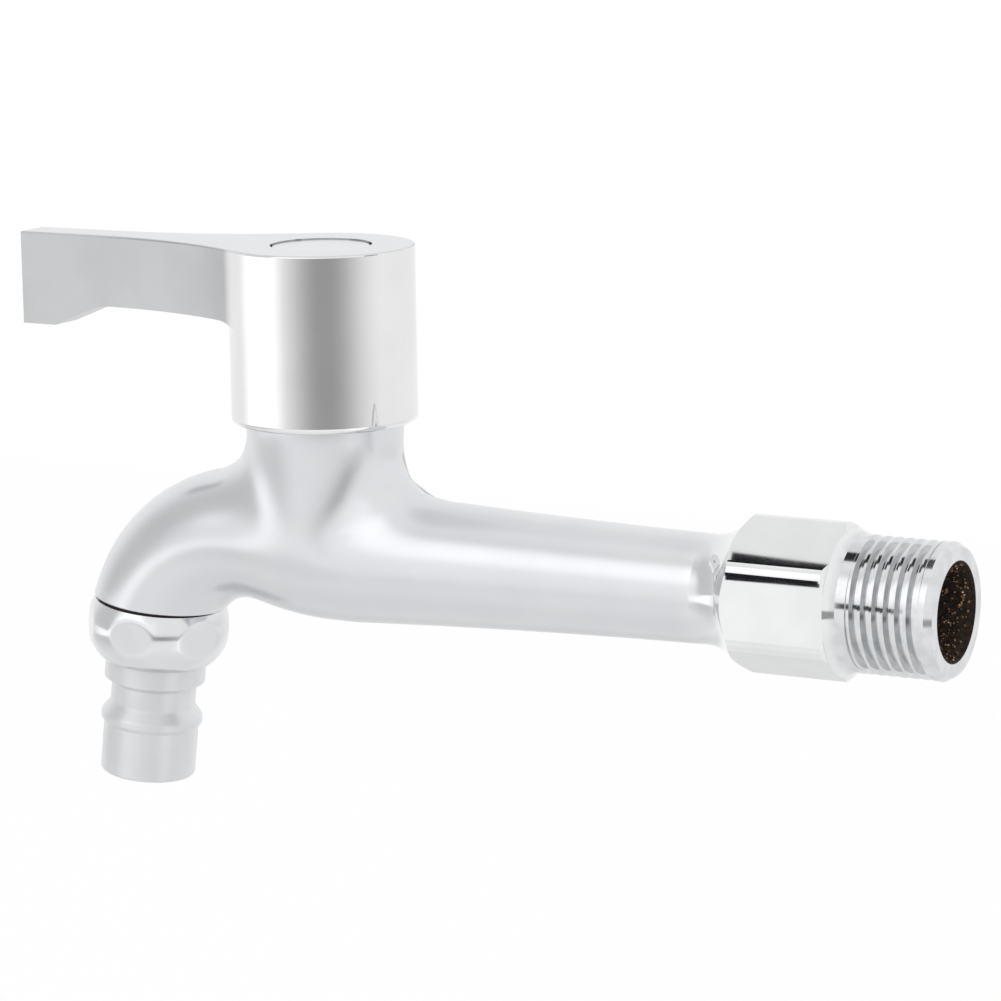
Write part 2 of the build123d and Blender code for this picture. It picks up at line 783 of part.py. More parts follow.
# Ball nut: a barrel-shaped nut with six flats, threaded above and lipped below
with BuildPart() as outlet_nut:
    nut_top_r = nut_ball_arc_offset + sqrt(nut_ball_arc_r**2 - (nut_ball_waist - nut_seam) ** 2)
    nut_waist_r = nut_ball_arc_offset + nut_ball_arc_r
    nut_bottom_r = nut_ball_arc_offset + sqrt(nut_ball_arc_r**2 - (nut_end - nut_ball_waist) ** 2)
    nut_bore_r = spigot_r + outlet_thread_clearance
    nut_hole_r = nozzle_bead_r + nut_hole_clearance
    with BuildSketch(outlet_section):
        with BuildLine():
            ThreePointArc(
                (nut_top_r, -nut_seam),
                (nut_waist_r, -nut_ball_waist),
                (nut_bottom_r, -nut_end),
            )
            Polyline(
                (nut_bottom_r, -nut_end),
                (nut_hole_r, -nut_end),
                (nut_hole_r, -nozzle_flange_end),
                (nut_bore_r, -nozzle_flange_end),
                (nut_bore_r, -nut_seam),
                (nut_top_r, -nut_seam),
            )
        make_face()
    revolve(axis=outlet_axis)
    with BuildSketch(outlet_plane(nut_end)):
        RegularPolygon(
            nut_across_flats / 2,
            side_count=6,
            major_radius=False,
            rotation=nut_flat_phase_deg - 30,
        )
    extrude(amount=nut_length, mode=Mode.INTERSECT)
    nut_flats = outlet_nut.faces().filter_by(GeomType.PLANE)
    nut_flats = nut_flats.filter_by(lambda face: not face.inner_wires())
    fillet(nut_flats.edges(), nut_flat_round)
finish(outlet_nut, "outlet_nut")

# Rubber washer between the spigot and the gauze
nozzle_washer = ring(
    outlet_plane(spigot_length + nozzle_washer_length),
    spigot_bore_r,
    nozzle_flange_r,
    nozzle_washer_length,
)
finish(nozzle_washer, "nozzle_washer")

# Fine gauze that catches grit at the outlet
with BuildPart() as outlet_gauze:
    with BuildSketch(outlet_plane(nozzle_flange_top)):
        Circle(nozzle_flange_r)
        with BuildSketch(mode=Mode.SUBTRACT):
            with GridLocations(gauze_pitch, gauze_pitch, gauze_rows, gauze_rows):
                Rectangle(gauze_hole, gauze_hole)
            Circle(gauze_open_r, mode=Mode.INTERSECT)
    extrude(amount=gauze_thickness)
finish(outlet_gauze, "outlet_gauze")

# Hose nozzle, turned in one piece
with BuildPart() as nozzle:
    with BuildSketch(outlet_section):
        Polygon(
            (nozzle_bore_r, -nozzle_flange_top),
            (nozzle_flange_r, -nozzle_flange_top),
            (nozzle_flange_r, -nozzle_flange_end),
            (nozzle_collar_r, -nozzle_flange_end),
            (nozzle_collar_r, -nozzle_collar_end),
            (nozzle_neck_r, -nozzle_neck_start),
            (nozzle_neck_r, -nozzle_neck_end),
            (nozzle_bead_r, -nozzle_bead_start),
            (nozzle_bead_r, -nozzle_bead_end),
            (nozzle_tube_r, -nozzle_bead_foot),
            (nozzle_tube_r, -nozzle_length),
            (nozzle_bore_r, -nozzle_length),
            align=None,
        )
    revolve(axis=outlet_axis)
    fillet(nozzle.faces().sort_by(outlet_axis)[0].edges(), nozzle_rim_round)
    bead_middle = (nozzle_bead_start + nozzle_bead_end) / 2
    neck_middle = (nozzle_neck_start + nozzle_neck_end) / 2
    nozzle_circles = nozzle.edges().filter_by(GeomType.CIRCLE)
    fillet(
        nozzle_circles.filter_by_position(outlet_axis, -bead_middle, -neck_middle),
        nozzle_bead_round,
    )
finish(nozzle, "nozzle")
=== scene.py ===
import json
import math

import bmesh
import bpy
import numpy as np
from mathutils import Matrix, Vector
from mathutils.bvhtree import BVHTree
from mathutils.interpolate import poly_3d_calc


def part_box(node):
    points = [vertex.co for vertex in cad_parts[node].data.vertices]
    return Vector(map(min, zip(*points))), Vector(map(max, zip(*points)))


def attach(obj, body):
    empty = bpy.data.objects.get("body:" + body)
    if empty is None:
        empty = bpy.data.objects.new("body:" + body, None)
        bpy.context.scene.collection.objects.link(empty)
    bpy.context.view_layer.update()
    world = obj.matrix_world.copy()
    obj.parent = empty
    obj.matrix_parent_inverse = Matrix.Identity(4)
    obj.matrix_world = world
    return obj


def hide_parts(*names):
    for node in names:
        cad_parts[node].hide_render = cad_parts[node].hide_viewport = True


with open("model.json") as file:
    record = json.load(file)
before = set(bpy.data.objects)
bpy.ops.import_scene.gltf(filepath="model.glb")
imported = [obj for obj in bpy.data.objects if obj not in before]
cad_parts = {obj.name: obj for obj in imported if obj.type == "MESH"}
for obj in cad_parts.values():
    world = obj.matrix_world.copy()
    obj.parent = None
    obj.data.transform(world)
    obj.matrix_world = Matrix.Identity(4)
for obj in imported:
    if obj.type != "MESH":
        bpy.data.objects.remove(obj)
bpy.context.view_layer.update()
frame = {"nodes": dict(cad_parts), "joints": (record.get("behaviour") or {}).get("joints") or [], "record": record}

MM = 0.001
nodes = frame["nodes"]


# The tap's body is one brass casting with a cut G1/2 thread, buffed and plated with bright chrome.
# The cast barrel, tower and spout keep a soft wave from the buffing wheel. The hexagon and the
# thread are cut, so their plate is as sharp as a mirror, and the bore stays raw inside.
def shader_group(name, inputs, outputs):
    """An empty node group with those sockets, and its two end nodes."""
    group = bpy.data.node_groups.new(name, "ShaderNodeTree")
    for label, kind, value in inputs:
        socket = group.interface.new_socket(label, in_out="INPUT", socket_type=kind)
        if value is not None:
            socket.default_value = value
    for label, kind in outputs:
        group.interface.new_socket(label, in_out="OUTPUT", socket_type=kind)
    return group, group.nodes.new("NodeGroupInput"), group.nodes.new("NodeGroupOutput")


def feed(tree, value, socket):
    """Sets a socket to a number, or links it to another socket."""
    if isinstance(value, (int, float)):
        socket.default_value = value
    else:
        tree.links.new(value, socket)


def maths(tree, operation, *values):
    """A Math node whose inputs are sockets or plain numbers, and its result."""
    node = tree.nodes.new("ShaderNodeMath")
    node.operation = operation
    for socket, value in zip(node.inputs, values):
        feed(tree, value, socket)
    return node.outputs[0]


def smooth_step(tree, value, low, high, out_low=0.0, out_high=1.0):
    """Turns a value between low and high into a soft step."""
    node = tree.nodes.new("ShaderNodeMapRange")
    node.interpolation_type = "SMOOTHSTEP"
    tree.links.new(value, node.inputs["Value"])
    node.inputs["From Min"].default_value = low
    node.inputs["From Max"].default_value = high
    node.inputs["To Min"].default_value = out_low
    node.inputs["To Max"].default_value = out_high
    return node.outputs["Result"]


def noise(tree, vector, scale, detail=2.0, roughness=0.5):
    """A noise of that scale, between 0 and 1."""
    node = tree.nodes.new("ShaderNodeTexNoise")
    feed(tree, scale, node.inputs["Scale"])
    node.inputs["Detail"].default_value = detail
    node.inputs["Roughness"].default_value = roughness
    tree.links.new(vector, node.inputs["Vector"])
    return node.outputs["Fac"]


def from_point(tree, place, origin):
    """The vector from the origin to a point."""
    shift = tree.nodes.new("ShaderNodeVectorMath")
    shift.operation = "SUBTRACT"
    tree.links.new(place, shift.inputs[0])
    shift.inputs[1].default_value = origin
    return shift.outputs["Vector"]


def along(tree, place, origin, way):
    """How far a point lies from the origin, measured along that way."""
    product = tree.nodes.new("ShaderNodeVectorMath")
    product.operation = "DOT_PRODUCT"
    tree.links.new(from_point(tree, place, origin), product.inputs[0])
    product.inputs[1].default_value = way
    return product.outputs["Value"]


def off_axis(tree, place, origin, way):
    """How far a point lies from the axis through the origin."""
    product = tree.nodes.new("ShaderNodeVectorMath")
    product.operation = "CROSS_PRODUCT"
    tree.links.new(from_point(tree, place, origin), product.inputs[0])
    product.inputs[1].default_value = way
    size = tree.nodes.new("ShaderNodeVectorMath")
    size.operation = "LENGTH"
    tree.links.new(product.outputs["Vector"], size.inputs[0])
    return size.outputs["Value"]


# Plated metal: a slow wave left by the buffing wheel, and a faint haze where hands have wiped it
plating, plating_in, plating_out = shader_group(
    "buffed plating",
    [
        ("Vector", "NodeSocketVector", None),
        ("Wave Scale", "NodeSocketFloat", 120.0),
        ("Gloss", "NodeSocketFloat", 0.05),
        ("Haze", "NodeSocketFloat", 0.04),
    ],
    [("Roughness", "NodeSocketFloat"), ("Wave", "NodeSocketFloat")],
)
wave = noise(plating, plating_in.outputs["Vector"], plating_in.outputs["Wave Scale"], detail=1.0)
plating.links.new(wave, plating_out.inputs["Wave"])
haze = noise(plating, plating_in.outputs["Vector"], 90.0, detail=3.0, roughness=0.6)
haze = maths(plating, "MULTIPLY_ADD", haze, plating_in.outputs["Haze"], plating_in.outputs["Gloss"])
plating.links.new(haze, plating_out.inputs["Roughness"])

# Two shades of one finish, in soft clouds
clouded, clouded_in, clouded_out = shader_group(
    "clouded shade",
    [
        ("Vector", "NodeSocketVector", None),
        ("Scale", "NodeSocketFloat", 60.0),
        ("Deep", "NodeSocketColor", (0.5, 0.5, 0.5, 1.0)),
        ("Pale", "NodeSocketColor", (0.6, 0.6, 0.6, 1.0)),
    ],
    [("Color", "NodeSocketColor")],
)
cloud = noise(clouded, clouded_in.outputs["Vector"], clouded_in.outputs["Scale"], detail=3.0)
cloud_mix = clouded.nodes.new("ShaderNodeMix")
cloud_mix.data_type = "RGBA"
clouded.links.new(smooth_step(clouded, cloud, 0.35, 0.65), cloud_mix.inputs["Factor"])
clouded.links.new(clouded_in.outputs["Deep"], cloud_mix.inputs["A"])
clouded.links.new(clouded_in.outputs["Pale"], cloud_mix.inputs["B"])
clouded.links.new(cloud_mix.outputs["Result"], clouded_out.inputs["Color"])


def new_material(name):
    """A material with its node tree, its Principled shader and its Object coordinates."""
    material = bpy.data.materials.new(name)
    material.use_nodes = True
    tree = material.node_tree
    shader = tree.nodes["Principled BSDF"]
    place = tree.nodes.new("ShaderNodeTexCoord").outputs["Object"]
    return material, tree, shader, place


def add_plating(tree, shader, place, gloss, haze, wave_scale, wave_height):
    """Places the plating group, feeds the shader's normal and roughness, and gives the latter."""
    group = tree.nodes.new("ShaderNodeGroup")
    group.node_tree = plating
    tree.links.new(place, group.inputs["Vector"])
    feed(tree, gloss, group.inputs["Gloss"])
    group.inputs["Haze"].default_value = haze
    group.inputs["Wave Scale"].default_value = wave_scale
    bump = tree.nodes.new("ShaderNodeBump")
    bump.inputs["Distance"].default_value = wave_height
    tree.links.new(group.outputs["Wave"], bump.inputs["Height"])
    tree.links.new(bump.outputs["Normal"], shader.inputs["Normal"])
    tree.links.new(group.outputs["Roughness"], shader.inputs["Roughness"])
    return group.outputs["Roughness"]


def add_clouds(tree, place, scale, deep, pale):
    """Places the clouded-shade group, and gives its colour."""
    group = tree.nodes.new("ShaderNodeGroup")
    group.node_tree = clouded
    tree.links.new(place, group.inputs["Vector"])
    group.inputs["Scale"].default_value = scale
    group.inputs["Deep"].default_value = (*deep, 1.0)
    group.inputs["Pale"].default_value = (*pale, 1.0)
    return group.outputs["Color"]


def blend_colours(tree, share, first, second):
    """The first colour where the share is 0, and the second where it is 1."""
    node = tree.nodes.new("ShaderNodeMix")
    node.data_type = "RGBA"
    tree.links.new(share, node.inputs["Factor"])
    tree.links.new(first, node.inputs["A"])
    tree.links.new(second, node.inputs["B"])
    return node.outputs["Result"]


def blend_values(tree, share, first, second):
    """The first value where the share is 0, and the second where it is 1."""
    node = tree.nodes.new("ShaderNodeMix")
    tree.links.new(share, node.inputs["Factor"])
    feed(tree, first, node.inputs["A"])
    feed(tree, second, node.inputs["B"])
    return node.outputs["Result"]


def wear(node, material):
    """Gives a CAD node its finish."""
    mesh = nodes[node].data
    mesh.materials.clear()
    mesh.materials.append(material)


cast_ends_x = -28.0 * MM
cut_starts_x = -18.5 * MM
thread_starts_x = -1.2 * MM
bore_skin_r = 7.75 * MM
bore_reaches_x = -80.0 * MM
spigot_skin_r = 10.3 * MM
spout_end_margin = 0.02 * MM
spout_above_pin = 21.4 * MM
hose_pin = next(mount for mount in frame["record"]["mounts"] if mount["name"] == "outlet_nozzle")
outlet_up = -Vector(hose_pin["axis"])
outlet_end = Vector(hose_pin["pos_m"]) + outlet_up * spout_above_pin
cast_gloss = 0.21
cut_gloss = 0.02
thread_gloss = 0.10
raw_roughness = 0.75

body_chrome, tree, shader, place = new_material("body chrome")
where = tree.nodes.new("ShaderNodeSeparateXYZ")
tree.links.new(place, where.inputs["Vector"])
cut = smooth_step(tree, where.outputs["X"], cast_ends_x, cut_starts_x)
thread = smooth_step(tree, where.outputs["X"], thread_starts_x, 0.0)
gloss = blend_values(tree, thread, blend_values(tree, cut, cast_gloss, cut_gloss), thread_gloss)
plate_roughness = add_plating(
    tree, shader, place, gloss, haze=0.05, wave_scale=60.0, wave_height=0.01 * MM
)
cast_shade = add_clouds(
    tree, place, scale=70.0, deep=(0.695, 0.708, 0.732), pale=(0.725, 0.735, 0.755)
)
cut_shade = add_clouds(
    tree, place, scale=150.0, deep=(0.80, 0.805, 0.81), pale=(0.83, 0.835, 0.84)
)
thread_shade = add_clouds(
    tree, place, scale=400.0, deep=(0.66, 0.67, 0.68), pale=(0.74, 0.75, 0.76)
)
plate_shade = blend_colours(tree, cut, cast_shade, cut_shade)
plate_shade = blend_colours(tree, thread, plate_shade, thread_shade)
from_pipe = off_axis(tree, place, (0.0, 0.0, 0.0), (1.0, 0.0, 0.0))
in_bore = maths(
    tree,
    "MULTIPLY",
    maths(tree, "LESS_THAN", from_pipe, bore_skin_r),
    maths(tree, "GREATER_THAN", where.outputs["X"], bore_reaches_x),
)
above_end = along(tree, place, outlet_end, outlet_up)
from_outlet = off_axis(tree, place, outlet_end, outlet_up)
# The spigot below the spout's end, inside the nut, is painted near-black, bare and rough: a painted shade in the
# seam between spout and nut.
in_painted_seam = maths(
    tree,
    "MULTIPLY",
    maths(tree, "LESS_THAN", above_end, -spout_end_margin),
    maths(tree, "LESS_THAN", from_outlet, spigot_skin_r),
)
raw_or_painted_seam = maths(tree, "MAXIMUM", in_bore, in_painted_seam)
# A near-black brown. In the bore it is the raw wall, darkened further as painted shade, and on the spigot it is
# the painted shade of the seam.
raw_and_seam_painted_shade = add_clouds(
    tree, place, scale=1400.0, deep=(0.010, 0.006, 0.004), pale=(0.045, 0.026, 0.016)
)
tree.links.new(blend_colours(tree, raw_or_painted_seam, plate_shade, raw_and_seam_painted_shade), shader.inputs["Base Color"])
tree.links.new(maths(tree, "SUBTRACT", 1.0, raw_or_painted_seam), shader.inputs["Metallic"])
tree.links.new(
    blend_values(tree, raw_or_painted_seam, plate_roughness, raw_roughness), shader.inputs["Roughness"]
)

# The buffing wheel has drawn the joins of barrel, tower and spout into each other. So the casting is
# the CAD body with finer faces there, inner corners that are filled a little, and normals that are
# the mean of those round them. Its cut ends stay crisp.
tower_x = frame["joints"][0]["pos_m"][0]
same_spot = 0.001 * MM
finest_face = 1.6 * MM
halvings = 4
crisp_from_x = -30.0 * MM
crisp_from_z = 26.5 * MM
crisp_lip = 0.6 * MM
sharp_edge = math.radians(25.0)
widest_reach = 7.0 * MM
least_reach = 0.6 * MM
softness_builds_over = 3.0 * MM
reach_share = 0.8
reach_for_full_fill = 5.0 * MM
pipe_skin_r = 9.3 * MM
tower_skin_r = 9.9 * MM
fill_reaches = 24.0 * MM
fill_rounds = 160
fill_pace = 0.5
least_agreement = 0.3
block = 300
nearly_nothing = 1e-18

source = nodes["tap_body"].data
spots = np.empty(len(source.vertices) * 3)
source.vertices.foreach_get("co", spots)
spots = spots.reshape(-1, 3)
corner_spots = np.empty(len(source.loops), dtype=int)
source.loops.foreach_get("vertex_index", corner_spots)
corner_normals = np.empty(len(source.loops) * 3)
source.corner_normals.foreach_get("vector", corner_normals)
triangles = spots[corner_spots].reshape(-1, 3, 3)
triangle_normals = corner_normals.reshape(-1, 3, 3)
skin = BVHTree.FromPolygons(
    [Vector(spot) for spot in spots], corner_spots.reshape(-1, 3).tolist()
)

work = bmesh.new()
work.from_mesh(source)
bmesh.ops.remove_doubles(work, verts=work.verts, dist=same_spot)
for halving in range(halvings):
    long_edges = [
        edge
        for edge in work.edges
        if edge.calc_length() > finest_face and max(v.co.x for v in edge.verts) < cast_ends_x
    ]
    bmesh.ops.subdivide_edges(work, edges=long_edges, cuts=1)
    bmesh.ops.triangulate(work, faces=[face for face in work.faces if len(face.verts) > 3])
work.normal_update()
work.verts.ensure_lookup_table()


def reach_of(vertex):
    """How far round a vertex its normal is averaged: not at all where the casting is crisp."""
    above_lip = (vertex.co - outlet_end).dot(outlet_up) - crisp_lip
    room = min(crisp_from_x - vertex.co.x, above_lip, crisp_from_z - vertex.co.z)
    reach = min(widest_reach, room * reach_share)
    if reach < least_reach:
        return 0.0
    if any(edge.calc_face_angle(math.pi) > sharp_edge for edge in vertex.link_edges):
        return 0.0
    return reach


reaches = np.array([reach_of(vertex) for vertex in work.verts])
places = np.array([vertex.co[:] for vertex in work.verts])
own_normals = np.array([vertex.normal[:] for vertex in work.verts])

# Each round lifts a vertex outwards, towards the mean of its neighbours, and never inwards
ends = np.array([[vertex.index for vertex in edge.verts] for edge in work.edges])
ends = np.concatenate([ends, ends[:, ::-1]])
neighbours = np.bincount(ends[:, 0], minlength=len(places))[:, None]
from_tower_x = places[:, 0] - tower_x
outside = np.hypot(places[:, 1], places[:, 2]) > pipe_skin_r
outside &= np.hypot(from_tower_x, places[:, 1]) > tower_skin_r
outside &= np.abs(from_tower_x) < fill_reaches
fill_share = np.clip(reaches / reach_for_full_fill, 0.0, 1.0) * outside * fill_pace
filled = places.copy()
for filling in range(fill_rounds):
    sums = [
        np.bincount(ends[:, 0], filled[ends[:, 1], axis], len(places)) for axis in range(3)
    ]
    lift = ((np.stack(sums, axis=1) / neighbours - filled) * own_normals).sum(axis=1)
    filled += (np.clip(lift, 0.0, None) * fill_share)[:, None] * own_normals

# A soft normal is the mean of the faces within reach that look roughly the same way
patches = filled[np.array([[vertex.index for vertex in face.verts] for face in work.faces])]
patch_spots = patches.mean(axis=1)
patch_normals = np.cross(patches[:, 1] - patches[:, 0], patches[:, 2] - patches[:, 0])
patch_sizes = np.linalg.norm(patch_normals, axis=1)
patch_ways = patch_normals / np.maximum(patch_sizes, nearly_nothing)[:, None]
soft_normals = np.zeros_like(places)
row = np.argsort(places[:, 0])
row = row[reaches[row] > 0.0]
for start in range(0, len(row), block):
    part = row[start:start + block]
    low_x, high_x = places[part[0], 0] - widest_reach, places[part[-1], 0] + widest_reach
    near = (patch_spots[:, 0] > low_x) & (patch_spots[:, 0] < high_x)
    gaps = ((filled[part, None, :] - patch_spots[None, near, :]) ** 2).sum(axis=2)
    share = np.clip(1.0 - gaps / reaches[part, None] ** 2, 0.0, None) ** 2
    share *= own_normals[part] @ patch_ways[near].T > least_agreement
    soft_normals[part] = share @ patch_normals[near]
lengths = np.linalg.norm(soft_normals, axis=1)
softness = np.clip((reaches - least_reach) / softness_builds_over, 0.0, 1.0) * (lengths > 0.0)
soft_normals /= np.maximum(lengths, nearly_nothing)[:, None]


def cad_normal(vertex, face):
    """The CAD's own normal at this corner of a face, from the triangle a tenth of the way in."""
    spot = Vector(places[vertex.index])
    inside = spot.lerp(face.calc_center_median(), 0.1)
    index = skin.find_nearest(inside)[2]
    shares = poly_3d_calc([Vector(corner) for corner in triangles[index]], spot)
    return np.array(shares) @ triangle_normals[index]


finished = []
for face in work.faces:
    face.smooth = True
    for vertex in face.verts:
        share = softness[vertex.index]
        normal = soft_normals[vertex.index] * share
        if share < 1.0:
            normal = normal + cad_normal(vertex, face) * (1.0 - share)
        finished.append(normal / np.linalg.norm(normal))
for vertex, spot in zip(work.verts, filled):
    vertex.co = spot
casting_mesh = bpy.data.meshes.new("body_casting")
work.to_mesh(casting_mesh)
work.free()
casting_mesh.normals_split_custom_set(finished)
casting_mesh.materials.clear()
casting_mesh.materials.append(body_chrome)
casting = bpy.data.objects.new("body_casting", casting_mesh)
bpy.context.scene.collection.objects.link(casting)
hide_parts("tap_body")
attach(casting, "tap")


# Inside the inlet the casting was never plated. Its wall is rough with brown scale and specks of
# bare brass, which lie on the wall as grains of many sizes.
grain_sizes = {
    "Bore Radius": 7.52 * MM,
    "Start": -15.5 * MM,
    "Length": 30.0 * MM,
    "Smallest Grain": 0.10 * MM,
    "Largest Grain": 0.30 * MM,
    "Grains per Square Metre": 1.5e6,
}
grain_seed = 7
wall_sides = 48

grain_stuff, tree, shader, place = new_material("bore grains")
shader.inputs["Roughness"].default_value = 0.42
scale_shade = add_clouds(
    tree, place, scale=900.0, deep=(0.045, 0.022, 0.012), pale=(0.30, 0.17, 0.085)
)
bare_shade = add_clouds(tree, place, scale=500.0, deep=(0.72, 0.48, 0.26), pale=(0.90, 0.72, 0.50))
speck = smooth_step(tree, noise(tree, place, 2600.0, detail=0.0), 0.60, 0.68)
tree.links.new(blend_colours(tree, speck, scale_shade, bare_shade), shader.inputs["Base Color"])
tree.links.new(speck, shader.inputs["Metallic"])

scatter = bpy.data.node_groups.new("grains on the bore", "GeometryNodeTree")
for way in ("INPUT", "OUTPUT"):
    scatter.interface.new_socket("Geometry", in_out=way, socket_type="NodeSocketGeometry")
for label in grain_sizes:
    scatter.interface.new_socket(label, in_out="INPUT", socket_type="NodeSocketFloat")
scatter.interface.new_socket("Seed", in_out="INPUT", socket_type="NodeSocketInt")
given = scatter.nodes.new("NodeGroupInput")
wall = scatter.nodes.new("GeometryNodeMeshCylinder")
wall.fill_type = "NONE"
wall.inputs["Vertices"].default_value = wall_sides
scatter.links.new(given.outputs["Bore Radius"], wall.inputs["Radius"])
scatter.links.new(given.outputs["Length"], wall.inputs["Depth"])
laid = scatter.nodes.new("GeometryNodeTransform")
laid.inputs["Rotation"].default_value = (0.0, math.pi / 2, 0.0)
middle = scatter.nodes.new("ShaderNodeCombineXYZ")
half = maths(scatter, "MULTIPLY", given.outputs["Length"], 0.5)
scatter.links.new(maths(scatter, "ADD", half, given.outputs["Start"]), middle.inputs["X"])
scatter.links.new(wall.outputs["Mesh"], laid.inputs["Geometry"])
scatter.links.new(middle.outputs["Vector"], laid.inputs["Translation"])
spread = scatter.nodes.new("GeometryNodeDistributePointsOnFaces")
scatter.links.new(laid.outputs["Geometry"], spread.inputs["Mesh"])
scatter.links.new(given.outputs["Grains per Square Metre"], spread.inputs["Density"])
scatter.links.new(given.outputs["Seed"], spread.inputs["Seed"])
grain = scatter.nodes.new("GeometryNodeMeshIcoSphere")
grain.inputs["Radius"].default_value = 1.0
grain.inputs["Subdivisions"].default_value = 1
size = scatter.nodes.new("FunctionNodeRandomValue")
scatter.links.new(given.outputs["Smallest Grain"], size.inputs[2])
scatter.links.new(given.outputs["Largest Grain"], size.inputs[3])
scatter.links.new(given.outputs["Seed"], size.inputs["Seed"])
tumble = scatter.nodes.new("FunctionNodeRandomValue")
tumble.data_type = "FLOAT_VECTOR"
tumble.inputs[1].default_value = (math.tau, math.tau, math.tau)
placed = scatter.nodes.new("GeometryNodeInstanceOnPoints")
scatter.links.new(spread.outputs["Points"], placed.inputs["Points"])
scatter.links.new(grain.outputs["Mesh"], placed.inputs["Instance"])
scatter.links.new(tumble.outputs[0], placed.inputs["Rotation"])
scatter.links.new(size.outputs[1], placed.inputs["Scale"])
real = scatter.nodes.new("GeometryNodeRealizeInstances")
scatter.links.new(placed.outputs["Instances"], real.inputs["Geometry"])
stuff = scatter.nodes.new("GeometryNodeSetMaterial")
stuff.inputs["Material"].default_value = grain_stuff
scatter.links.new(real.outputs["Geometry"], stuff.inputs["Geometry"])
made = scatter.nodes.new("NodeGroupOutput")
scatter.links.new(stuff.outputs["Geometry"], made.inputs["Geometry"])

carrier = bpy.data.objects.new("grain carrier", bpy.data.meshes.new("grain carrier"))
bpy.context.scene.collection.objects.link(carrier)
modifier = carrier.modifiers.new("grains", "NODES")
modifier.node_group = scatter
values = {**grain_sizes, "Seed": grain_seed}
for item in scatter.interface.items_tree:
    if item.in_out == "INPUT" and item.name in values:
        modifier[item.identifier] = values[item.name]
view_layer = bpy.context.evaluated_depsgraph_get()
grain_mesh = bpy.data.meshes.new_from_object(carrier.evaluated_get(view_layer))
bpy.data.objects.remove(carrier)
bore_grains = bpy.data.objects.new("bore_grains", grain_mesh)
bpy.context.scene.collection.objects.link(bore_grains)
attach(bore_grains, "tap")


# The ball nut is turned brass with a bright plate. The buffing wheel has rounded its flats, so the
# tent bends softly over them.
nut_chrome, tree, shader, place = new_material("nut chrome")
shader.inputs["Metallic"].default_value = 1.0
nut_shade = add_clouds(
    tree, place, scale=160.0, deep=(0.725, 0.735, 0.75), pale=(0.755, 0.765, 0.78)
)
tree.links.new(nut_shade, shader.inputs["Base Color"])
add_plating(tree, shader, place, gloss=0.12, haze=0.05, wave_scale=140.0, wave_height=0.04 * MM)
wear("outlet_nut", nut_chrome)


# The hose nozzle is turned brass with a satin plate. The fine marks of the lathe run round it and
# spread its highlights up and down.
lathe, lathe_in, lathe_out = shader_group(
    "lathe marks",
    [("Along", "NodeSocketFloat", 0.0), ("Pitch", "NodeSocketFloat", 0.0003)],
    [("Height", "NodeSocketFloat")],
)
marks = lathe.nodes.new("ShaderNodeTexNoise")
marks.noise_dimensions = "1D"
marks.inputs["Scale"].default_value = 1.0
marks.inputs["Detail"].default_value = 2.0
turns = maths(lathe, "DIVIDE", lathe_in.outputs["Along"], lathe_in.outputs["Pitch"])
lathe.links.new(turns, marks.inputs["W"])
lathe.links.new(marks.outputs["Fac"], lathe_out.inputs["Height"])


def add_lathe_marks(tree, shader, distance, pitch, depth):
    """Places the lathe-marks group and feeds the shader's normal from it."""
    group = tree.nodes.new("ShaderNodeGroup")
    group.node_tree = lathe
    tree.links.new(distance, group.inputs["Along"])
    group.inputs["Pitch"].default_value = pitch
    bump = tree.nodes.new("ShaderNodeBump")
    bump.inputs["Distance"].default_value = depth
    tree.links.new(group.outputs["Height"], bump.inputs["Height"])
    tree.links.new(bump.outputs["Normal"], shader.inputs["Normal"])


# A gloss that drifts between two values over the surface
drifting, drifting_in, drifting_out = shader_group(
    "drifting gloss",
    [
        ("Vector", "NodeSocketVector", None),
        ("Scale", "NodeSocketFloat", 300.0),
        ("Least", "NodeSocketFloat", 0.2),
        ("Most", "NodeSocketFloat", 0.4),
    ],
    [("Roughness", "NodeSocketFloat")],
)
drift = noise(drifting, drifting_in.outputs["Vector"], drifting_in.outputs["Scale"])
swing = maths(drifting, "SUBTRACT", drifting_in.outputs["Most"], drifting_in.outputs["Least"])
drift = maths(drifting, "MULTIPLY_ADD", drift, swing, drifting_in.outputs["Least"])
drifting.links.new(drift, drifting_out.inputs["Roughness"])


def vary_gloss(tree, shader, place, scale, least, most):
    """Places the drifting-gloss group and feeds the shader's roughness from it."""
    group = tree.nodes.new("ShaderNodeGroup")
    group.node_tree = drifting
    tree.links.new(place, group.inputs["Vector"])
    group.inputs["Scale"].default_value = scale
    group.inputs["Least"].default_value = least
    group.inputs["Most"].default_value = most
    tree.links.new(group.outputs["Roughness"], shader.inputs["Roughness"])


satin_chrome, tree, shader, place = new_material("satin chrome")
shader.inputs["Metallic"].default_value = 1.0
shader.inputs["Anisotropic"].default_value = 0.85
shader.inputs["Anisotropic Rotation"].default_value = 0.25
satin_shade = add_clouds(
    tree, place, scale=160.0, deep=(0.73, 0.742, 0.755), pale=(0.76, 0.772, 0.785)
)
tree.links.new(satin_shade, shader.inputs["Base Color"])
vary_gloss(tree, shader, place, scale=200.0, least=0.38, most=0.44)
round_way = tree.nodes.new("ShaderNodeTangent")
round_way.direction_type = "RADIAL"
round_way.axis = "Z"
tree.links.new(round_way.outputs["Tangent"], shader.inputs["Tangent"])
down_nozzle = along(tree, place, outlet_end, outlet_up)
add_lathe_marks(tree, shader, down_nozzle, pitch=0.4 * MM, depth=0.004 * MM)
wear("nozzle", satin_chrome)


# The handle is a zinc casting with a bright plate. Its round skirt is polished like a mirror, the
# lever and the flat top are brushed to a satin, and the plain button sits in a groove on top.
tower_foot = (tower_x, 0.0, 0.0)
tower_way = (0.0, 0.0, 1.0)
skirt_r = 14.95 * MM
lever_r = 15.8 * MM
top_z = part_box("handle")[1][2]
top_edge_z = top_z - 0.30 * MM
top_starts_z = top_z - 0.05 * MM
groove_starts_z = top_z - 0.03 * MM
groove_r = 8.25 * MM
skirt_gloss = 0.035
lever_gloss = 0.25
top_gloss = 0.20

